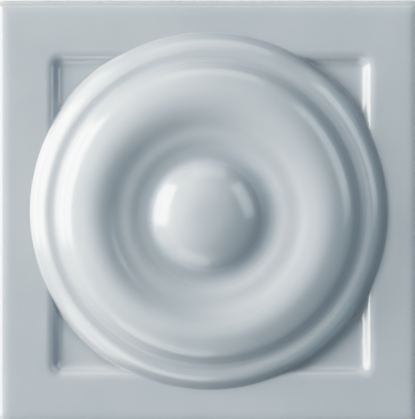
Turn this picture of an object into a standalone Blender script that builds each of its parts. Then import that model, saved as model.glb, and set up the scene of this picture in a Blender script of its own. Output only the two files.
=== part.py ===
"""Pressed and glazed ceramic wall insert: a square-framed tile with a turned rosette standing in a sunk panel.

Metres, +Z up. The tile lies on its back, face up, with the origin at the centre of the flat back face.
+X is the right of the face and +Y its top.
"""

import math

import bmesh
import bpy
from mathutils import Matrix

MM = 0.001

# Outline of the pressed body
TILE_SIDE = 50.0 * MM
FRAME_THICKNESS = 7.0 * MM
PLAN_CORNER_RADIUS = 0.9 * MM
FACE_EDGE_RADIUS = 1.2 * MM
BACK_EDGE_CHAMFER = 0.4 * MM

# Sunk square panel, seen only at its four corners
PANEL_SIDE = 38.0 * MM
PANEL_DEPTH = 0.87 * MM
PANEL_WALL_RUN = 1.25 * MM
PANEL_CORNER_RADIUS = 1.2 * MM

# Rosette, turned about the tile's centre: each station is a radius in millimetres and the slope of the
# surface there in degrees, positive where the surface rises outwards. A circular arc joins each two.
DOME_TOP_ABOVE_FRAME = 3.61 * MM
ROSETTE_STATIONS = (
    (0.0, 0.0),  # top of the centre button
    (1.2, -3.4),
    (2.4, -10.0),
    (3.4, -16.5),
    (5.5, -28.0),  # shoulder of the button
    (6.05, -34.0),  # steepest part of the button
    (6.65, -19.0),
    (7.3, 0.0),  # bottom of the hollow round the button
    (8.2, 15.0),
    (8.75, 18.0),  # lower slope of the main roll
    (9.4, 10.0),
    (9.9, 8.0),  # ledge half way up
    (10.6, 17.0),
    (11.2, 22.5),  # upper slope of the main roll
    (12.4, 14.0),
    (13.66, 0.0),  # crest of the main roll
    (14.8, -13.5),
    (16.0, -21.5),
    (16.6, -27.0),
    (17.15, -38.0),  # steepest part of the roll's outer flank
    (17.6, -33.0),
    (18.05, -20.0),
    (18.45, -8.0),
    (18.75, -4.0),  # narrow step between the roll and the rim bead
    (19.0, -14.0),
    (19.25, -22.0),
    (19.7, -25.0),
    (20.1, -33.0),  # top of the rim bead
    (20.45, -46.0),
    (20.75, -60.0),  # outer side of the rim bead
    (20.95, -73.0),
)
ROSETTE_ROOT = 1.5 * MM
ARC_STEP_DEGREES = 9.0
TURNING_STEPS = 80

CORNER_SEGMENTS = 4
EDGE_SEGMENTS = 5
MERGE_DISTANCE = 0.00005

GLAZE_COLOUR = (0.46, 0.52, 0.55, 1.0)
GLAZE_ROUGHNESS = 0.12


def clear_scene():
    """Remove every object, so that only the tile is left at the end."""
    for obj in list(bpy.data.objects):
        bpy.data.objects.remove(obj)


def new_collection(name):
    """A collection of this name, linked to the scene."""
    collection = bpy.data.collections.new(name)
    bpy.context.scene.collection.children.link(collection)
    return collection


def object_from_bmesh(name, mesh_data, collection):
    """Turn a finished bmesh into an object and free the bmesh."""
    mesh = bpy.data.meshes.new(name)
    mesh_data.to_mesh(mesh)
    mesh_data.free()
    obj = bpy.data.objects.new(name, mesh)
    collection.objects.link(obj)
    return obj


def make_helper(obj):
    """Show a cutter or a joined shape as a wire only and keep it out of the render."""
    obj.hide_render = True
    obj.display_type = "WIRE"


def glaze_material():
    """Pale blue-grey gloss glaze over a pressed body."""
    material = bpy.data.materials.new("blue_grey_glaze")
    material.use_nodes = True
    shader = material.node_tree.nodes["Principled BSDF"]
    shader.inputs["Base Color"].default_value = GLAZE_COLOUR
    shader.inputs["Roughness"].default_value = GLAZE_ROUGHNESS
    shader.inputs["Metallic"].default_value = 0.0
    return material


def edges_where(mesh_data, test):
    """Edges whose two ends both pass the test."""
    return [edge for edge in mesh_data.edges if all(test(vert.co) for vert in edge.verts)]


def upright_edges(mesh_data):
    """Edges that join the lower outline to the upper one."""
    middle = sum(vert.co.z for vert in mesh_data.verts) / len(mesh_data.verts)
    return [
        edge
        for edge in mesh_data.edges
        if (edge.verts[0].co.z - middle) * (edge.verts[1].co.z - middle) < 0
    ]


def round_edges(mesh_data, edges, radius, segments):
    """Round the given edges by the same radius."""
    bmesh.ops.bevel(
        mesh_data,
        geom=edges,
        offset=radius,
        offset_type="OFFSET",
        segments=segments,
        profile=0.5,
        affect="EDGES",
        clamp_overlap=True,
    )


def pressed_body(collection):
    """The plain tile blank, with soft corners, a rounded face edge and a small chamfer at the back."""
    mesh_data = bmesh.new()
    size = Matrix.Diagonal((TILE_SIDE, TILE_SIDE, FRAME_THICKNESS, 1.0))
    seat = Matrix.Translation((0.0, 0.0, FRAME_THICKNESS / 2))
    bmesh.ops.create_cube(mesh_data, size=1.0, matrix=seat @ size)
    round_edges(mesh_data, upright_edges(mesh_data), PLAN_CORNER_RADIUS, CORNER_SEGMENTS)
    face_edges = edges_where(mesh_data, lambda co: co.z > FRAME_THICKNESS - MERGE_DISTANCE)
    round_edges(mesh_data, face_edges, FACE_EDGE_RADIUS, EDGE_SEGMENTS)
    back_edges = edges_where(mesh_data, lambda co: co.z < MERGE_DISTANCE)
    round_edges(mesh_data, back_edges, BACK_EDGE_CHAMFER, 1)
    return object_from_bmesh("tile_insert", mesh_data, collection)


def panel_cutter(collection):
    """A shallow square pan with sloping walls, tall enough to pass the face of the frame."""
    floor_side = PANEL_SIDE - 2 * PANEL_WALL_RUN
    slope = PANEL_WALL_RUN / PANEL_DEPTH
    overshoot = PANEL_DEPTH
    top_side = PANEL_SIDE + 2 * slope * overshoot
    height = PANEL_DEPTH + overshoot
    mesh_data = bmesh.new()
    corner_reach = math.sqrt(0.5)
    bmesh.ops.create_cone(
        mesh_data,
        cap_ends=True,
        segments=4,
        radius1=floor_side * corner_reach,
        radius2=top_side * corner_reach,
        depth=height,
        matrix=Matrix.Translation((0.0, 0.0, FRAME_THICKNESS - PANEL_DEPTH + height / 2))
        @ Matrix.Rotation(math.radians(45.0), 4, "Z"),
    )
    round_edges(mesh_data, upright_edges(mesh_data), PANEL_CORNER_RADIUS, CORNER_SEGMENTS)
    cutter = object_from_bmesh("panel_cutter", mesh_data, collection)
    make_helper(cutter)
    return cutter


def arc_points(start, end, height):
    """Points of the circular arc between two stations, after its start, and the height at its end."""
    (r0, degrees0), (r1, degrees1) = start, end
    a0 = math.radians(degrees0)
    a1 = math.radians(degrees1)
    bend = (r1 - r0) / (math.sin(a1) - math.sin(a0))
    steps = max(2, math.ceil(abs(degrees1 - degrees0) / ARC_STEP_DEGREES))
    points = []
    for step in range(1, steps + 1):
        angle = a0 + (a1 - a0) * step / steps
        radius = r0 + bend * (math.sin(angle) - math.sin(a0))
        rise = -bend * (math.cos(angle) - math.cos(a0))
        points.append((radius, height + rise))
    return points, points[-1][1]


def rosette_profile():
    """The rosette's outline from its top to its root, as (radius, height) in metres above the back face."""
    height = (FRAME_THICKNESS + DOME_TOP_ABOVE_FRAME) / MM
    outline = [(0.0, height)]
    for start, end in zip(ROSETTE_STATIONS, ROSETTE_STATIONS[1:]):
        points, height = arc_points(start, end, height)
        outline.extend(points)
    last_radius, last_slope = ROSETTE_STATIONS[-1]
    root_height = (FRAME_THICKNESS - PANEL_DEPTH - ROSETTE_ROOT) / MM
    foot_radius = last_radius + (root_height - height) / math.tan(math.radians(last_slope))
    outline.append((foot_radius, root_height))
    outline.append((0.0, root_height))
    return [(radius * MM, z * MM) for radius, z in outline]


def turned_rosette(collection):
    """The rosette as a turned solid whose root is buried in the body."""
    mesh_data = bmesh.new()
    verts = [mesh_data.verts.new((radius, 0.0, z)) for radius, z in rosette_profile()]
    for first, second in zip(verts, verts[1:]):
        mesh_data.edges.new((first, second))
    rosette = object_from_bmesh("rosette_turning", mesh_data, collection)
    turn = rosette.modifiers.new("turn", "SCREW")
    turn.axis = "Z"
    turn.angle = math.radians(360.0)
    turn.steps = TURNING_STEPS
    turn.render_steps = TURNING_STEPS
    turn.use_merge_vertices = True
    turn.merge_threshold = MERGE_DISTANCE
    make_helper(rosette)
    return rosette


def combine(obj, other, operation):
    """Cut or join another object's shape, keeping the modifier on the object."""
    modifier = obj.modifiers.new(f"{operation.lower()}_{other.name}", "BOOLEAN")
    modifier.operation = operation
    modifier.solver = "EXACT"
    modifier.object = other


def build_tile():
    """The whole insert: one pressed and fired piece."""
    clear_scene()
    tile_collection = new_collection("tile_insert")
    helper_collection = new_collection("shaping_helpers")
    tile = pressed_body(tile_collection)
    combine(tile, panel_cutter(helper_collection), "DIFFERENCE")
    combine(tile, turned_rosette(helper_collection), "UNION")
    tile.data.materials.append(glaze_material())


build_tile()
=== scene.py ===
"""A pressed and glazed relief tile insert, dressed for its picture.

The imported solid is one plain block. Here it gets the surface that the kiln gave it: the rosette, the sunk
corners and the soft face edge are drawn over by one skin of glaze, which rounds each crest, fills each
crease and stops part of the way down the sides, where the bare clay body shows.

Lengths are in millimetres inside the classes and become metres only where they reach Blender. +X is the
right of the face, +Y its top and +Z the way the face looks.
"""

import logging
import math
from dataclasses import dataclass, field, replace
from enum import Enum

import bpy
import numpy as np
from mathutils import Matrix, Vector


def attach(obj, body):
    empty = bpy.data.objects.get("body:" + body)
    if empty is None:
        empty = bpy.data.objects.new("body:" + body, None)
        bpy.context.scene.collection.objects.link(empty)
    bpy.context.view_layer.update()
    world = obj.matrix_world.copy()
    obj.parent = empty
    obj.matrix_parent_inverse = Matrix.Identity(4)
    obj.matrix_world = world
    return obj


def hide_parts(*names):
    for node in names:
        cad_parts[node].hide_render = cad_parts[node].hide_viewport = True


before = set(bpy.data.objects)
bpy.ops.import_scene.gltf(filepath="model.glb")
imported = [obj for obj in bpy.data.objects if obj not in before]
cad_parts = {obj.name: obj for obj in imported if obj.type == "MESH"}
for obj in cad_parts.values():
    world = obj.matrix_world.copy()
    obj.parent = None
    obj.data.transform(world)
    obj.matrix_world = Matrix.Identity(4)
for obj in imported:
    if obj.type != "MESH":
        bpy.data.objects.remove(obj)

LOG = logging.getLogger("tile_insert")
MM = 0.001
NODE = "tile_insert"
SLOT = "blue_grey_glaze"

NOISE_SPAN = (0.3, 0.7)  # where nearly all of a noise pattern's values lie
STRAIGHT = 1e-9  # change of sine below which an arc is a straight line
STEEPEST = 0.99999  # most that the sine of a slope can be
COMBINED = 3  # place of the curve that acts on red, green and blue together

Station = tuple[float, float]
Plan = tuple[np.ndarray, np.ndarray]


class Channel(Enum):
    """Names of the values that the skin carries at each of its points."""

    # Depth below the levelled surface, which darkens the hollows: partly real pooled glaze, partly painted
    # shade.
    POOL_AND_SHADE = "glaze_pool"
    THIN = "glaze_thin"


class Blend(Enum):
    """Ways to join two colours."""

    MIX = "MIX"
    MULTIPLY = "MULTIPLY"


class Sum(Enum):
    """Ways to join two numbers."""

    ADD = "ADD"
    MULTIPLY = "MULTIPLY"


class Tint(Enum):
    """Colours of the studio's lamps."""

    WARM = (1.06, 1.0, 0.95)
    PLAIN = (1.03, 1.0, 0.93)
    COOL = (0.96, 1.0, 1.05)


@dataclass(frozen=True)
class ArcChain:
    """A height curve made of circular arcs, each tangent to the next.

    Attributes:
        stations: Pairs of run in millimetres and slope in degrees, in rising order of run.
        start: Height at the first station, in millimetres.
    """

    stations: tuple[Station, ...]
    start: float = 0.0

    def heights(self, run: np.ndarray) -> np.ndarray:
        """Read the curve.

        Args:
            run: Distances along the curve's base, in millimetres.

        Returns:
            The height at each distance. Outside the stations the curve goes on straight.
        """
        height = self.start
        first_run, first_slope = self.stations[0]
        result = height + (run - first_run) * math.tan(math.radians(first_slope))
        for (r0, d0), (r1, d1) in zip(self.stations, self.stations[1:]):
            s0 = math.sin(math.radians(d0))
            s1 = math.sin(math.radians(d1))
            c0 = math.cos(math.radians(d0))
            inside = run >= r0
            if abs(s1 - s0) < STRAIGHT:
                rise = (run - r0) * s0 / c0
                end = height + (r1 - r0) * s0 / c0
            else:
                bend = (r1 - r0) / (s1 - s0)
                sine = np.clip(s0 + (run - r0) / bend, -STEEPEST, STEEPEST)
                rise = bend * (c0 - np.sqrt(1.0 - sine * sine))
                end = height + bend * (c0 - math.cos(math.radians(d1)))
            result = np.where(inside, height + rise, result)
            height = end
        last_run, last_slope = self.stations[-1]
        beyond = height + (run - last_run) * math.tan(math.radians(last_slope))
        return np.where(run >= last_run, beyond, result)

    def samples(self, most_run: float, most_turn: float) -> list[float]:
        """Choose where to sample the curve.

        Args:
            most_run: Longest step allowed, in millimetres.
            most_turn: Largest change of slope allowed in a step, in degrees.

        Returns:
            Runs from the first station to the last, closer together where the curve bends.
        """
        runs = [self.stations[0][0]]
        for (r0, d0), (r1, d1) in zip(self.stations, self.stations[1:]):
            count = max(1, math.ceil((r1 - r0) / most_run), math.ceil(abs(d1 - d0) / most_turn))
            s0 = math.sin(math.radians(d0))
            s1 = math.sin(math.radians(d1))
            for step in range(1, count + 1):
                share = step / count
                if abs(s1 - s0) < STRAIGHT:
                    runs.append(r0 + (r1 - r0) * share)
                    continue
                angle = math.radians(d0 + (d1 - d0) * share)
                runs.append(r0 + (r1 - r0) * (math.sin(angle) - s0) / (s1 - s0))
        return runs


@dataclass(frozen=True)
class RoundedSquare:
    """A square outline with rounded corners.

    Attributes:
        half: Half of a side, in millimetres.
        corner: Radius of its corners, in millimetres.
        centre: Its centre in the plan, in millimetres.
    """

    half: float
    corner: float
    centre: tuple[float, float] = (0.0, 0.0)

    def outside(self, x: np.ndarray, y: np.ndarray) -> np.ndarray:
        """Distance of each point outside the outline, negative inside it."""
        qx = np.abs(x - self.centre[0]) - (self.half - self.corner)
        qy = np.abs(y - self.centre[1]) - (self.half - self.corner)
        away = np.hypot(np.maximum(qx, 0.0), np.maximum(qy, 0.0))
        return away + np.minimum(np.maximum(qx, qy), 0.0) - self.corner

    def reach(self, angle: np.ndarray) -> np.ndarray:
        """Find the outline from the tile's centre.

        Args:
            angle: Directions in radians.

        Returns:
            Distance from the tile's centre to the outline in each direction.
        """
        near = np.zeros_like(angle)
        far = np.full_like(angle, 2.0 * self.half)
        for _ in range(36):
            middle = (near + far) / 2.0
            beyond = self.outside(middle * np.cos(angle), middle * np.sin(angle)) > 0.0
            far = np.where(beyond, middle, far)
            near = np.where(beyond, near, middle)
        return far


def smooth_max(a: np.ndarray, b: np.ndarray, blend: float) -> np.ndarray:
    """Join two height fields with a fillet in the crease between them.

    Args:
        a: Heights of the first form.
        b: Heights of the second form.
        blend: Height range over which they melt together, in millimetres.

    Returns:
        The joined heights.
    """
    near = np.maximum(blend - np.abs(a - b), 0.0) / blend
    return np.maximum(a, b) + near * near * blend * 0.25


@dataclass(frozen=True)
class FrameForm:
    """The flat square frame and its rounded face edge.

    Attributes:
        side: Length of a side, in millimetres.
        face: Height of the frame over the back.
        plan_corner: Radius of the corners in the plan.
        edge: Fall of the face edge against the distance outside the outline.
        back_chamfer: Width of the chamfer round the back.
    """

    side: float = 50.0
    face: float = 7.0
    plan_corner: float = 0.9
    edge: ArcChain = ArcChain(((-1.7, 0.0), (-0.85, -17.0), (0.0, -90.0)))
    back_chamfer: float = 0.4

    @property
    def outline(self) -> RoundedSquare:
        """Plan outline of the tile."""
        return RoundedSquare(self.side / 2, self.plan_corner)

    def edge_drop(self, outside: np.ndarray) -> np.ndarray:
        """Fall of the face edge below the frame at each distance outside the outline, negative inside it."""
        start = self.edge.stations[0][0]
        return np.where(outside > start, self.edge.heights(np.minimum(outside, 0.0)), 0.0)


@dataclass(frozen=True)
class PanelForm:
    """The sunk square panel, which shows only at its four corners and was pressed a little off centre.

    Attributes:
        side: Length of a side at the top of the wall, in millimetres.
        corner: Radius of the corners there.
        centre: Centre of the panel in the plan.
        depth: Depth of its floor below the frame.
        wall_slope: Steepest slope of the wall, in degrees.
        lip_radius: Radius of the round at the top of the wall.
        foot_radius: Radius of the round at its foot.
    """

    side: float = 38.8
    corner: float = 1.9
    centre: tuple[float, float] = (0.25, -0.15)
    depth: float = 0.87
    wall_slope: float = 38.0
    lip_radius: float = 1.8
    foot_radius: float = 1.5

    @property
    def outline(self) -> RoundedSquare:
        """Plan outline of the top of the wall."""
        return RoundedSquare(self.side / 2, self.corner, self.centre)

    @property
    def wall(self) -> ArcChain:
        """Height of the wall against the distance outside its top outline."""
        slope = math.radians(self.wall_slope)
        rounded = (self.lip_radius + self.foot_radius) * (1.0 - math.cos(slope))
        straight = max(self.depth - rounded, 0.0) / math.tan(slope)
        lip = self.lip_radius * math.sin(slope)
        foot = self.foot_radius * math.sin(slope)
        return ArcChain(
            (
                (-(lip + straight + foot), 0.0),
                (-(lip + straight), self.wall_slope),
                (-lip, self.wall_slope),
                (0.0, 0.0),
            ),
            -self.depth,
        )


@dataclass(frozen=True)
class RosetteForm:
    """The turned rosette: centre button, hollow, main roll with its ledge, narrow step and rim bead.

    Attributes:
        top_above_frame: Height of the button over the frame, in millimetres.
        stations: Radius in millimetres and slope in degrees along the outline, with a circular arc
            between each two.
        foot_fillet: Height range over which the glaze fills the crease round the rim.
        centres: Radius of a ring and the centre it was pressed about. The rings between two drift from one
            centre to the other.
    """

    top_above_frame: float = 3.601
    stations: tuple[Station, ...] = (
        (0.0, 0.0),
        (1.2, -3.4),
        (2.4, -10.0),
        (3.4, -16.5),
        (5.5, -28.0),
        (6.05, -34.0),
        (6.65, -19.0),
        (7.3, 0.0),
        (8.2, 15.0),
        (8.75, 18.0),
        (9.4, 10.0),
        (9.9, 8.0),
        (10.6, 17.0),
        (11.2, 22.5),
        (12.4, 14.0),
        (13.66, 0.0),
        (14.8, -13.5),
        (16.0, -21.5),
        (16.6, -27.0),
        (17.15, -38.0),
        (17.6, -33.0),
        (18.05, -20.0),
        (18.45, -8.0),
        (18.75, -4.0),
        (19.0, -14.0),
        (19.25, -22.0),
        (19.7, -25.0),
        (20.1, -33.0),
        (20.45, -46.0),
        (20.75, -60.0),
        (20.95, -73.0),
    )
    foot_fillet: float = 0.6
    centres: tuple[tuple[float, float, float], ...] = (
        (11.0, -0.1, -0.25),
        (16.0, 0.0, 0.15),
        (19.2, 0.0, 0.15),
        (20.8, 0.0, 0.35),
    )

    @property
    def profile(self) -> ArcChain:
        """Height above the frame against the radius."""
        return ArcChain(self.stations, self.top_above_frame)

    def centre(self, radius: np.ndarray) -> Plan:
        """Centre of the ring of each radius."""
        across = np.full_like(radius, self.centres[0][1])
        up = np.full_like(radius, self.centres[0][2])
        for (r0, x0, y0), (r1, x1, y1) in zip(self.centres, self.centres[1:]):
            share = np.clip((radius - r0) / (r1 - r0), 0.0, 1.0)
            share = share * share * (3.0 - 2.0 * share)
            across = across + (x1 - x0) * share
            up = up + (y1 - y0) * share
        return across, up

    def radius(self, x: np.ndarray, y: np.ndarray) -> np.ndarray:
        """Radius of the ring that passes through each point.

        Args:
            x: Distances to the right of the tile's centre.
            y: Distances above it.

        Returns:
            The radii, each about its own ring's centre.
        """
        radius = np.hypot(x, y)
        for _ in range(4):
            across, up = self.centre(radius)
            radius = np.hypot(x - across, y - up)
        return radius


@dataclass(frozen=True)
class Relief:
    """The whole face as one height field."""

    frame_form: FrameForm = FrameForm()
    panel: PanelForm = PanelForm()
    rosette: RosetteForm = RosetteForm()

    def heights(self, x: np.ndarray, y: np.ndarray) -> np.ndarray:
        """Height of the face above the back at each point of the plan, in millimetres.

        Args:
            x: Distances to the right of the centre.
            y: Distances above the centre.

        Returns:
            The heights, with the fillets that the glaze leaves.
        """
        wall = self.panel.wall
        run = np.maximum(self.panel.outline.outside(x, y), wall.stations[0][0])
        ground = np.where(run < 0.0, wall.heights(run), 0.0)
        turned = self.rosette.profile.heights(self.rosette.radius(x, y))
        face = smooth_max(turned, ground, self.rosette.foot_fillet)
        drop = self.frame_form.edge_drop(self.frame_form.outline.outside(x, y))
        return self.frame_form.face + face + drop


@dataclass(frozen=True)
class GlazeRun:
    """How the molten glaze leaves the crests and gathers in the hollows, where its darker colour also stands
    in for painted shade.

    Attributes:
        spread: Distance over which the glaze levels itself, in millimetres.
        grid: Number of points along a side of the plan on which it is worked out.
        rim: Radius of the rosette, beyond which the pooled colour and painted shade in the hollows are
            weakened.
        rim_fade: Width of the change there, in millimetres.
        beyond: Share of the depth that counts there.
        border: Width of the tile's edge, which is left out.
    """

    spread: float = 1.1
    grid: int = 401
    rim: float = 20.4
    rim_fade: float = 0.6
    beyond: float = 0.2
    border: float = 0.5

    def _blurred(self, heights: np.ndarray, step: float) -> np.ndarray:
        """Average the heights over the spread with a bell-shaped weight."""
        offsets = np.arange(self.grid) * step
        weights = np.exp(-0.5 * ((offsets[:, None] - offsets[None, :]) / self.spread) ** 2)
        weights /= weights.sum(axis=1, keepdims=True)
        return weights @ heights @ weights.T

    def depth(self, relief: Relief, x: np.ndarray, y: np.ndarray) -> np.ndarray:
        """Work out how deep each point lies below the levelled surface.

        Args:
            relief: The face.
            x: Distances to the right of the centre.
            y: Distances above the centre.

        Returns:
            Millimetres below the levelled surface, negative on a crest.
        """
        half = relief.frame_form.side / 2 - self.border
        axis = np.linspace(-half, half, self.grid)
        step = axis[1] - axis[0]
        plan_x, plan_y = np.meshgrid(axis, axis, indexing="ij")
        heights = relief.heights(plan_x, plan_y)
        below = self._blurred(heights, step) - heights
        last = self.grid - 1.001
        u = np.clip((x + half) / step, 0.0, last)
        v = np.clip((y + half) / step, 0.0, last)
        i = u.astype(int)
        j = v.astype(int)
        fu = u - i
        fv = v - j
        near = below[i, j] * (1 - fu) + below[i + 1, j] * fu
        far = below[i, j + 1] * (1 - fu) + below[i + 1, j + 1] * fu
        out = np.clip((relief.rosette.radius(x, y) - self.rim) / self.rim_fade, 0.0, 1.0)
        return (near * (1 - fv) + far * fv) * (1.0 - out * (1.0 - self.beyond))


class NodeBench:
    """Small helper that lays shader nodes in one material."""

    def __init__(self, name: str) -> None:
        """Start a material with a Principled shader.

        Args:
            name: Name of the material.
        """
        self.material = bpy.data.materials.new(name)
        self.material.use_nodes = True
        self.tree = self.material.node_tree
        self.shader = self.tree.nodes["Principled BSDF"]
        self.places = self.add("ShaderNodeTexCoord").outputs["Object"]

    def add(self, kind: str, **settings: object) -> bpy.types.Node:
        """Add a node and set its properties.

        Args:
            kind: Node type.
            **settings: Property names and their values.

        Returns:
            The new node.
        """
        node = self.tree.nodes.new(kind)
        for key, value in settings.items():
            setattr(node, key, value)
        return node

    def link(self, source: bpy.types.NodeSocket, target: bpy.types.NodeSocket) -> None:
        """Join an output to an input."""
        self.tree.links.new(source, target)

    def noise(self, size_mm: float, detail: float, roughness: float = 0.5) -> bpy.types.NodeSocket:
        """Add a noise pattern on the object's own places.

        Args:
            size_mm: Width of its blotches, in millimetres.
            detail: Number of finer layers.
            roughness: Strength of the finer layers.

        Returns:
            Its factor output.
        """
        node = self.add("ShaderNodeTexNoise")
        node.inputs["Scale"].default_value = 1.0 / (size_mm * MM)
        node.inputs["Detail"].default_value = detail
        node.inputs["Roughness"].default_value = roughness
        self.link(self.places, node.inputs["Vector"])
        return node.outputs["Fac"]

    def remap(
        self,
        value: bpy.types.NodeSocket,
        low: float,
        high: float,
        to_low: float = 0.0,
        to_high: float = 1.0,
    ) -> bpy.types.NodeSocket:
        """Stretch a range of values to another, and hold it at the ends.

        Args:
            value: Value to stretch.
            low: Value that becomes to_low.
            high: Value that becomes to_high.
            to_low: Result at low.
            to_high: Result at high.

        Returns:
            The stretched value.
        """
        node = self.add("ShaderNodeMapRange", interpolation_type="SMOOTHSTEP")
        for name, number in (
            ("From Min", low),
            ("From Max", high),
            ("To Min", to_low),
            ("To Max", to_high),
        ):
            node.inputs[name].default_value = number
        self.link(value, node.inputs["Value"])
        return node.outputs["Result"]

    def attribute(self, channel: Channel) -> bpy.types.NodeSocket:
        """Read a value that the mesh carries at its points."""
        return self.add("ShaderNodeAttribute", attribute_name=channel.value).outputs["Fac"]

    def blend(
        self,
        factor: bpy.types.NodeSocket | float,
        first: bpy.types.NodeSocket | tuple[float, ...],
        second: bpy.types.NodeSocket | tuple[float, ...],
        mode: Blend = Blend.MIX,
    ) -> bpy.types.NodeSocket:
        """Join two colours.

        Args:
            factor: Share of the second colour.
            first: Colour or output at factor 0.
            second: Colour or output at factor 1.
            mode: How they are joined.

        Returns:
            The joined colour.
        """
        node = self.add("ShaderNodeMix", data_type="RGBA", blend_type=mode.value)
        sockets = (node.inputs[0], node.inputs[6], node.inputs[7])
        for socket, value in zip(sockets, (factor, first, second)):
            if isinstance(value, (float, tuple)):
                socket.default_value = value
            else:
                self.link(value, socket)
        return node.outputs[2]

    def combine(
        self,
        operation: Sum,
        first: bpy.types.NodeSocket,
        second: bpy.types.NodeSocket | float,
    ) -> bpy.types.NodeSocket:
        """Join two numbers with a maths node.

        Args:
            operation: How they are joined.
            first: First number.
            second: Second number or a constant.

        Returns:
            The result.
        """
        node = self.add("ShaderNodeMath", operation=operation.value)
        self.link(first, node.inputs[0])
        if isinstance(second, float):
            node.inputs[1].default_value = second
        else:
            self.link(second, node.inputs[1])
        return node.outputs[0]


@dataclass(frozen=True)
class GlazeFinish:
    """Pale blue-grey gloss glaze that ends part of the way down the sides, over a cream clay body.

    Attributes:
        body: Colour of the glaze at its usual depth.
        pooled_and_shaded: Colour where it has pooled, darker also as painted shade in the hollows.
        crest: Colour where it ran thin.
        clay: Colour of the bare clay.
        grain_shade: How dark the clay's dark grains are.
        pool_and_shade_range: Depths between which the glaze turns to the pooled and painted-shade colour, in
            millimetres.
        thin_range: Heights between which it turns to the crest colour.
        thin_share: Most of the crest colour that shows.
        clouds: Darkest and lightest tint of the faint clouds.
        cloud_size: Width of a cloud in millimetres, as are the sizes below.
        ior: Refractive index of the glaze.
        roughness: Roughness of the gloss.
        gloss_spread: Least and most of it, as shares.
        gloss_size: Width of its patches.
        milky: Roughness that a deep pool adds.
        milky_at: Share of the pooled and shaded colour at which it is all added.
        clay_roughness: Roughness of the bare clay.
        line_height: Height of the glaze line over the back.
        line_wander: Most that the line wanders up or down.
        line_size: Length of its waves.
        line_softness: Half of the line's width.
        wave_size: Width of the waves in the glaze.
        wave_height: Height of the waves.
        wave_strength: Strength of the waves.
        grain_size: Width of a grain of colour in the clay.
        sand_size: Width of a grain of sand in it.
        sand_height: Height of the sand.
        sand_strength: Strength of the sand.
    """

    body: tuple[float, ...] = (0.50, 0.517, 0.539, 1.0)
    pooled_and_shaded: tuple[float, ...] = (0.30, 0.345, 0.385, 1.0)
    crest: tuple[float, ...] = (0.65, 0.67, 0.68, 1.0)
    clay: tuple[float, ...] = (0.72, 0.66, 0.57, 1.0)
    grain_shade: float = 0.86
    pool_and_shade_range: tuple[float, float] = (0.02, 0.40)
    thin_range: tuple[float, float] = (0.04, 0.26)
    thin_share: float = 0.8
    clouds: tuple[tuple[float, ...], ...] = ((0.97, 0.975, 0.98, 1.0), (1.03, 1.025, 1.02, 1.0))
    cloud_size: float = 9.0
    ior: float = 1.5
    roughness: float = 0.14
    gloss_spread: tuple[float, float] = (0.85, 1.25)
    gloss_size: float = 2.5
    milky: float = 0.30
    milky_at: float = 0.3
    clay_roughness: float = 0.85
    line_height: float = 2.6
    line_wander: float = 0.5
    line_size: float = 5.0
    line_softness: float = 0.06
    wave_size: float = 2.2
    wave_height: float = 0.03
    wave_strength: float = 0.4
    grain_size: float = 0.35
    sand_size: float = 0.25
    sand_height: float = 0.06
    sand_strength: float = 0.6

    def material(self) -> bpy.types.Material:
        """Lay the finish as a material.

        Returns:
            The new material.
        """
        bench = NodeBench(SLOT)
        # Hollows darken to the pooled colour, partly real pooled glaze and partly painted shade.
        pool_and_shade = bench.remap(bench.attribute(Channel.POOL_AND_SHADE), *self.pool_and_shade_range)
        glazed = self._glazed_share(bench)
        colour = bench.blend(glazed, self._clay_colour(bench), self._glaze_colour(bench, pool_and_shade))
        bench.link(colour, bench.shader.inputs["Base Color"])
        bench.link(self._roughness(bench, glazed, pool_and_shade), bench.shader.inputs["Roughness"])
        bench.link(self._surface(bench, glazed), bench.shader.inputs["Normal"])
        bench.shader.inputs["IOR"].default_value = self.ior
        return bench.material

    def _glaze_colour(self, bench: NodeBench, pool_and_shade: bpy.types.NodeSocket) -> bpy.types.NodeSocket:
        """Colour the glaze by its depth: the pooled colour and painted shade in the hollows, paler on
        crests, with faint clouds.
        """
        thin = bench.remap(bench.attribute(Channel.THIN), *self.thin_range)
        worn = bench.combine(Sum.MULTIPLY, thin, self.thin_share)
        colour = bench.blend(worn, bench.blend(pool_and_shade, self.body, self.pooled_and_shaded), self.crest)
        cloud = bench.remap(bench.noise(self.cloud_size, 3.0), *NOISE_SPAN)
        return bench.blend(1.0, colour, bench.blend(cloud, *self.clouds), Blend.MULTIPLY)

    def _glazed_share(self, bench: NodeBench) -> bpy.types.NodeSocket:
        """Mark where the glaze is: above a line on the sides that wanders a little."""
        split = bench.add("ShaderNodeSeparateXYZ")
        bench.link(bench.places, split.inputs[0])
        most = self.line_wander * MM
        wander = bench.remap(bench.noise(self.line_size, 2.0), *NOISE_SPAN, -most, most)
        height = bench.combine(Sum.ADD, split.outputs["Z"], wander)
        low = (self.line_height - self.line_softness) * MM
        high = (self.line_height + self.line_softness) * MM
        return bench.remap(height, low, high)

    def _clay_colour(self, bench: NodeBench) -> bpy.types.NodeSocket:
        """Colour the bare clay with a fine pale and dark grain."""
        grain = bench.remap(bench.noise(self.grain_size, 4.0, 0.7), *NOISE_SPAN)
        dark = tuple(self.grain_shade * c for c in self.clay[:3]) + (1.0,)
        return bench.blend(grain, dark, self.clay)

    def _roughness(
        self, bench: NodeBench, glazed: bpy.types.NodeSocket, pool_and_shade: bpy.types.NodeSocket
    ) -> bpy.types.NodeSocket:
        """Gloss on the glaze, slightly uneven and milkier where it is deep, and a dull clay."""
        least, most = (share * self.roughness for share in self.gloss_spread)
        gloss = bench.remap(bench.noise(self.gloss_size, 3.0), *NOISE_SPAN, least, most)
        milk = bench.remap(pool_and_shade, 0.0, self.milky_at, 0.0, self.milky)
        gloss = bench.combine(Sum.ADD, gloss, milk)
        node = bench.add("ShaderNodeMix", data_type="FLOAT")
        bench.link(glazed, node.inputs[0])
        node.inputs[2].default_value = self.clay_roughness
        bench.link(gloss, node.inputs[3])
        return node.outputs[0]

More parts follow.
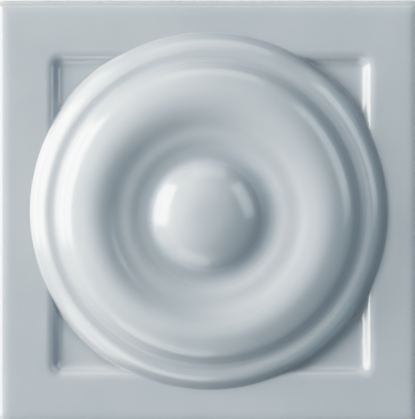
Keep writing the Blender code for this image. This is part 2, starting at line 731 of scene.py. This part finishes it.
    def _surface(self, bench: NodeBench, glazed: bpy.types.NodeSocket) -> bpy.types.NodeSocket:
        """Faint waves in the glaze and a sandy grain on the clay."""
        waves = bench.add("ShaderNodeBump")
        waves.inputs["Strength"].default_value = self.wave_strength
        waves.inputs["Distance"].default_value = self.wave_height * MM
        bench.link(bench.noise(self.wave_size, 2.0), waves.inputs["Height"])
        bare = bench.remap(glazed, 0.0, 1.0, self.sand_strength, 0.0)
        sand = bench.add("ShaderNodeBump")
        sand.inputs["Distance"].default_value = self.sand_height * MM
        bench.link(bare, sand.inputs["Strength"])
        bench.link(bench.noise(self.sand_size, 5.0, 0.7), sand.inputs["Height"])
        bench.link(waves.outputs["Normal"], sand.inputs["Normal"])
        return sand.outputs["Normal"]


@dataclass(frozen=True)
class FloorFinish:
    """Plain pale matt floor, in slightly uneven shade.

    Attributes:
        colour: Colour of the floor.
        shade: How dark its darker patches are.
        shade_size: Width of a patch in millimetres.
        roughness: Roughness of the floor.
    """

    colour: tuple[float, ...] = (0.80, 0.80, 0.79, 1.0)
    shade: float = 0.98
    shade_size: float = 60.0
    roughness: float = 0.9

    def material(self) -> bpy.types.Material:
        """Lay the finish as a material."""
        bench = NodeBench("pale_floor")
        shade = bench.remap(bench.noise(self.shade_size, 2.0), *NOISE_SPAN)
        dark = tuple(self.shade * c for c in self.colour[:3]) + (1.0,)
        bench.link(bench.blend(shade, dark, self.colour), bench.shader.inputs["Base Color"])
        bench.shader.inputs["Roughness"].default_value = self.roughness
        return bench.material


@dataclass
class GlazedTile:
    """The tile insert: one skin of glaze over the pressed relief, closed down the sides and across the back.

    The skin is spun as a flat disc of rings and spokes, and then settles on the relief. Its inner rings
    stay round with the rosette and its outer ones turn square with the wall of the panel and the outline.

    Attributes:
        relief: The form of the face.
        glaze_run: How the glaze lies on it.
        finish: The glaze and the clay.
        spokes: Number of spokes.
        ring_step: Most that two rings of the rosette are apart, in millimetres.
        ring_turn: Most that the slope changes between them, in degrees.
        foot_end: Radius at which the rings stop being round.
        foot_rings: Number of rings between the rosette's last station and there.
        floor_rings: Number of rings across the floor of the panel.
        wall_rings: Number of rings on its wall.
        margin_rings: Number of rings across the frame.
        wall_margin: How far the wall's rings reach past it.
        least_floor: Least width of the floor's rings.
        least_wall: Least width of the wall's rings.
        edge_step: Most that two rings of the face edge are apart.
        edge_turn: Most that the slope changes between them, in degrees.
        corner_shrink: How fast a ring's corners sharpen towards the inside of the edge.
        least_corner: Least radius of a ring's corners.
        side_heights: Heights of the rings down the sides.
        back_inset: Width of the border of the back face.
        sharp_angle: Degrees between two faces from which their edge is sharp.
        glaze_reach: How far below the frame the depth of the glaze is stored.
    """

    relief: Relief = field(default_factory=Relief)
    glaze_run: GlazeRun = field(default_factory=GlazeRun)
    finish: GlazeFinish = field(default_factory=GlazeFinish)
    spokes: int = 480
    ring_step: float = 0.24
    ring_turn: float = 5.0
    foot_end: float = 21.9
    foot_rings: int = 14
    floor_rings: int = 8
    wall_rings: int = 10
    margin_rings: int = 5
    wall_margin: float = 0.1
    least_floor: float = 0.36
    least_wall: float = 0.3
    edge_step: float = 0.4
    edge_turn: float = 9.0
    corner_shrink: float = 0.45
    least_corner: float = 0.15
    side_heights: tuple[float, ...] = (4.4, 3.2, 2.6, 2.0, 1.2)
    back_inset: float = 3.0
    sharp_angle: float = 38.0
    glaze_reach: float = 2.5

    def build(self) -> bpy.types.Object:
        """Model, dress and register the tile.

        Returns:
            The finished object.
        """
        places = self._places()
        tile = self._spun_disc(places.shape[0])
        self._settle(tile, places)
        self._close_back(tile)
        self._carry_glaze(tile)
        tile.data.materials.append(self.finish.material())
        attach(tile, "root")
        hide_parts(NODE)
        return tile

    def _angles(self) -> np.ndarray:
        """Angles of the spokes, evenly spaced along the sides of a square so that its corners get more."""
        half_sides = np.arange(self.spokes) / self.spokes * 8.0
        share = half_sides % 2.0 - 1.0
        side = np.floor(half_sides / 2.0)
        return np.arctan(share) + side * math.pi / 2 + math.pi / 4

    def _face_plan(self) -> Plan:
        """Lay out the rings of the face on the plan, from the centre to the face edge.

        Returns:
            The two plan coordinates of each ring and spoke.
        """
        form = self.relief
        angles = self._angles()
        runs = form.rosette.profile.samples(self.ring_step, self.ring_turn)[1:]
        foot = np.linspace(runs[-1], self.foot_end, self.foot_rings + 1)[1:]
        round_radii = np.concatenate((runs, foot))[:, None]
        across, up = form.rosette.centre(round_radii)
        rings_x = [*(across + round_radii * np.cos(angles))]
        rings_y = [*(up + round_radii * np.sin(angles))]
        for radius, count in self._square_bands(angles):
            end_x = radius * np.cos(angles)
            end_y = radius * np.sin(angles)
            start_x = rings_x[-1]
            start_y = rings_y[-1]
            for step in range(1, count + 1):
                rings_x.append(start_x + (end_x - start_x) * step / count)
                rings_y.append(start_y + (end_y - start_y) * step / count)
        return np.array(rings_x), np.array(rings_y)

    def _square_bands(self, angles: np.ndarray) -> list[tuple[np.ndarray, int]]:
        """List the bands outside the rosette, which turn square.

        Args:
            angles: Angles of the spokes.

        Returns:
            The outer radius of each band along the spokes, and its number of rings.
        """
        form = self.relief
        wall_run = -form.panel.wall.stations[0][0] + 2 * self.wall_margin
        wall_top = form.panel.side / 2 + self.wall_margin
        lip = replace(form.panel.outline, half=wall_top).reach(angles)
        toe = replace(form.panel.outline, half=wall_top - wall_run).reach(angles)
        toe = np.maximum(toe, self.foot_end + self.least_floor)
        lip = np.maximum(lip, toe + self.least_wall)
        edge_runs = form.frame_form.edge.samples(self.edge_step, self.edge_turn)
        inner = form.frame_form.outline.half + edge_runs[0]
        bands = [
            (toe, self.floor_rings),
            (lip, self.wall_rings),
            (RoundedSquare(inner, form.frame_form.plan_corner).reach(angles), self.margin_rings),
        ]
        for run in edge_runs[1:]:
            half = form.frame_form.outline.half + run
            corner = form.frame_form.plan_corner + run * self.corner_shrink
            corner = max(corner, self.least_corner)
            bands.append((RoundedSquare(half, corner).reach(angles), 1))
        return bands

    def _places(self) -> np.ndarray:
        """Work out where each ring and spoke of the skin lies.

        Returns:
            Places in millimetres, by ring, spoke and axis. The first ring is the one next to the centre.
        """
        form = self.relief.frame_form
        x, y = self._face_plan()
        face = np.stack((x, y, self.relief.heights(x, y)), axis=-1)
        rim = face[-1]
        low = [self._ring_at(rim, height) for height in self.side_heights]
        low.append(self._ring_at(rim, form.back_chamfer))
        inset = (form.side / 2 - form.back_chamfer) / (form.side / 2)
        back = self._ring_at(rim, 0.0) * np.array((inset, inset, 1.0))
        return np.concatenate((face, np.array(low), back[None]), axis=0)

    @staticmethod
    def _ring_at(rim: np.ndarray, height: float) -> np.ndarray:
        """Copy the rim at another height."""
        ring = rim.copy()
        ring[:, 2] = height
        return ring

    def _spun_disc(self, rings: int) -> bpy.types.Object:
        """Spin a straight spoke into a flat disc whose rings lie one metre apart.

        Args:
            rings: Number of rings round the centre.

        Returns:
            The disc.
        """
        bpy.ops.object.select_all(action="DESELECT")
        mesh = bpy.data.meshes.new("tile_insert_skin")
        points = [(float(ring), 0.0, 0.0) for ring in range(rings + 1)]
        mesh.from_pydata(points, [(ring, ring + 1) for ring in range(rings)], [])
        disc = bpy.data.objects.new("tile_insert_skin", mesh)
        bpy.context.scene.collection.objects.link(disc)
        bpy.context.view_layer.objects.active = disc
        disc.select_set(True)
        bpy.ops.object.mode_set(mode="EDIT")
        bpy.ops.mesh.select_all(action="SELECT")
        bpy.ops.mesh.spin(
            steps=self.spokes, angle=math.tau, center=(0.0, 0.0, 0.0), axis=(0.0, 0.0, 1.0)
        )
        bpy.ops.mesh.select_all(action="SELECT")
        bpy.ops.mesh.remove_doubles(threshold=0.001)
        bpy.ops.object.mode_set(mode="OBJECT")
        return disc

    def _settle(self, disc: bpy.types.Object, places: np.ndarray) -> None:
        """Move each point of the flat disc to its place on the tile.

        Args:
            disc: The spun disc.
            places: Where each ring and spoke goes.
        """
        count = len(disc.data.vertices)
        flat = np.empty(count * 3)
        disc.data.vertices.foreach_get("co", flat)
        flat = flat.reshape(-1, 3)
        ring = np.rint(np.hypot(flat[:, 0], flat[:, 1])).astype(int)
        turn = np.arctan2(flat[:, 1], flat[:, 0]) / math.tau
        spoke = np.rint(turn * self.spokes).astype(int) % self.spokes
        button = np.array(self.relief.rosette.centres[0][1:])
        centre = np.array((*button, float(self.relief.heights(*button[:, None])[0])))
        settled = np.where(ring[:, None] > 0, places[np.maximum(ring, 1) - 1, spoke], centre)
        disc.data.vertices.foreach_set("co", (settled * MM).ravel())
        disc.data.update()

    def _close_back(self, tile: bpy.types.Object) -> None:
        """Fill the back, point every face outwards and smooth all but the back's edges."""
        bpy.ops.object.mode_set(mode="EDIT")
        bpy.ops.mesh.select_mode(type="EDGE")
        bpy.ops.mesh.select_all(action="DESELECT")
        bpy.ops.mesh.select_non_manifold()
        bpy.ops.mesh.edge_face_add()
        bpy.ops.mesh.inset(thickness=self.back_inset * MM)
        bpy.ops.mesh.select_all(action="SELECT")
        bpy.ops.mesh.normals_make_consistent(inside=False)
        bpy.ops.object.mode_set(mode="OBJECT")
        bpy.ops.object.shade_smooth_by_angle(angle=math.radians(self.sharp_angle))

    def _carry_glaze(self, tile: bpy.types.Object) -> None:
        """Store on each point how thick or thin the glaze lies there; the depth in the hollows drives the
        pooled colour and painted shade.
        """
        mesh = tile.data
        flat = np.empty(len(mesh.vertices) * 3)
        mesh.vertices.foreach_get("co", flat)
        x, y, z = flat.reshape(-1, 3).T / MM
        below = self.glaze_run.depth(self.relief, x, y)
        on_face = z > self.relief.frame_form.face - self.glaze_reach
        for channel, values in ((Channel.POOL_AND_SHADE, below), (Channel.THIN, -below)):
            layer = mesh.attributes.new(channel.value, "FLOAT", "POINT")
            layer.data.foreach_set("value", np.where(on_face, np.maximum(values, 0.0), 0.0))


@dataclass(frozen=True)
class SoftBox:
    """One rectangular studio lamp, aimed at the tile.

    Attributes:
        name: Name of the lamp.
        azimuth: Degrees anticlockwise from the right of the face, seen from above.
        elevation: Degrees above the floor.
        distance: Metres from the tile.
        width: Metres across, level with the floor.
        height: Metres the other way.
        radiance: Brightness of its surface, in the units of the picture's light.
        tint: Its colour.
    """

    name: str
    azimuth: float
    elevation: float
    distance: float
    width: float
    height: float
    radiance: float
    tint: Tint = Tint.WARM

    def light(self) -> None:
        """Place the lamp."""
        data = bpy.data.lights.new(self.name, "AREA")
        data.shape = "RECTANGLE"
        data.size = self.width
        data.size_y = self.height
        data.energy = self.radiance * math.pi * self.width * self.height
        data.color = self.tint.value
        lamp = bpy.data.objects.new(self.name, data)
        bpy.context.scene.collection.objects.link(lamp)
        lift = math.radians(self.elevation)
        turn = math.radians(self.azimuth)
        away = Vector(
            (math.cos(turn) * math.cos(lift), math.sin(turn) * math.cos(lift), math.sin(lift))
        )
        lamp.location = away * self.distance
        lamp.rotation_euler = (-away).to_track_quat("-Z", "Y").to_euler()
        lamp.visible_camera = False


@dataclass
class Studio:
    """Pale floor, soft lamps and the camera straight above the face.

    Attributes:
        floor_side: Metres along a side of the floor.
        sky: Colour of the room's even light.
        sky_strength: Its strength.
        lamps: The lamps.
        pixels: Width and height of the photo.
        pixel_size: Millimetres of the tile's face to a pixel.
        centre_pixel: Where the tile's centre lies in the photo, from its upper left.
        distance: Metres from the camera to the face.
        sensor: Width of the camera's sensor in millimetres.
        white: Light at which the picture is pure white.
        tone: Points of the picture's tone curve, from the light as a share of white to its value.
    """

    floor_side: float = 1.6
    sky: tuple[float, float, float, float] = (0.12, 1.0, 1.6, 1.0)
    sky_strength: float = 0.09
    lamps: tuple[SoftBox, ...] = (
        SoftBox("key_low_strip", 167.0, 12.5, 0.60, 0.54, 0.17, 9.6),
        SoftBox("key_softbox", 165.0, 34.0, 0.60, 0.48, 0.212, 9.1, Tint.PLAIN),
        SoftBox("broad_window", 165.0, 36.0, 0.60, 1.15, 0.36, 0.55),
        SoftBox("top_wall", 90.0, 35.0, 0.60, 0.38, 0.18, 2.1, Tint.PLAIN),
        SoftBox("top_ceiling", 90.0, 60.0, 0.60, 0.60, 0.30, 0.27, Tint.PLAIN),
        SoftBox("lower_left_wall", 208.0, 35.0, 0.60, 0.38, 0.18, 0.4, Tint.PLAIN),
        SoftBox("bottom_wall", 250.0, 35.0, 0.60, 0.38, 0.18, 2.2, Tint.PLAIN),
        SoftBox("bottom_card", 262.0, 40.0, 0.15, 0.10, 0.05, 0.53, Tint.PLAIN),
        SoftBox("right_wall", 24.0, 44.0, 0.60, 0.42, 0.15, 2.4, Tint.COOL),
        SoftBox("right_card", 28.0, 44.0, 0.12, 0.070, 0.028, 1.0, Tint.PLAIN),
    )
    pixels: tuple[int, int] = (415, 419)
    pixel_size: float = 0.1171
    centre_pixel: tuple[float, float] = (209.0, 214.0)
    distance: float = 0.45
    sensor: float = 36.0
    white: float = 2.0
    tone: tuple[tuple[float, float], ...] = (
        (0.0, 0.0),
        (0.10, 0.16),
        (0.20, 0.375),
        (0.30, 0.59),
        (0.40, 0.75),
        (0.55, 0.895),
        (1.0, 1.0),
    )

    def build(self) -> None:
        """Set up the whole studio."""
        self._floor()
        self._sky()
        for lamp in self.lamps:
            lamp.light()
        self._camera()
        self._tone_curve()

    def _floor(self) -> None:
        """Lay the floor under the tile."""
        bpy.ops.object.select_all(action="DESELECT")
        bpy.ops.mesh.primitive_plane_add(size=self.floor_side, location=(0.0, 0.0, 0.0))
        floor = bpy.context.object
        floor.name = "floor"
        floor.data.materials.append(FloorFinish().material())

    def _sky(self) -> None:
        """Give the room its dim, even light."""
        world = bpy.data.worlds.new("studio_room")
        world.use_nodes = True
        background = world.node_tree.nodes["Background"]
        background.inputs["Color"].default_value = self.sky
        background.inputs["Strength"].default_value = self.sky_strength
        bpy.context.scene.world = world

    def _tone_curve(self) -> None:
        """Give the picture a camera's gentle toe and shoulder."""
        view = bpy.context.scene.view_settings
        view.view_transform = "Standard"
        view.use_curve_mapping = True
        mapping = view.curve_mapping
        mapping.white_level = (self.white, self.white, self.white)
        curve = mapping.curves[COMBINED]
        curve.points[0].location = self.tone[0]
        curve.points[1].location = self.tone[-1]
        for place, value in self.tone[1:-1]:
            curve.points.new(place, value)
        mapping.update()

    def _camera(self) -> None:
        """Hang the camera straight above, so that the tile fills the picture as in the photo."""
        face = FrameForm().face
        data = bpy.data.cameras.new("overhead_camera")
        data.sensor_width = self.sensor
        span = max(self.pixels) * self.pixel_size
        data.lens = self.sensor * self.distance / (span * MM)
        data.clip_start = 0.01
        data.clip_end = 10.0
        camera = bpy.data.objects.new("overhead_camera", data)
        bpy.context.scene.collection.objects.link(camera)
        across = (self.pixels[0] / 2 - self.centre_pixel[0]) * self.pixel_size
        up = (self.centre_pixel[1] - self.pixels[1] / 2) * self.pixel_size
        camera.location = (across * MM, up * MM, self.distance + face * MM)
        bpy.context.scene.camera = camera


def main() -> None:
    """Build the tile and its studio, and report each piece."""
    logging.basicConfig(level=logging.INFO, format="%(message)s")
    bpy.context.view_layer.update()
    tile = GlazedTile().build()
    LOG.info("%s: %d faces", tile.name, len(tile.data.polygons))
    studio = Studio()
    studio.build()
    LOG.info("studio: %d lamps", len(studio.lamps))


if __name__ == "__main__":
    main()
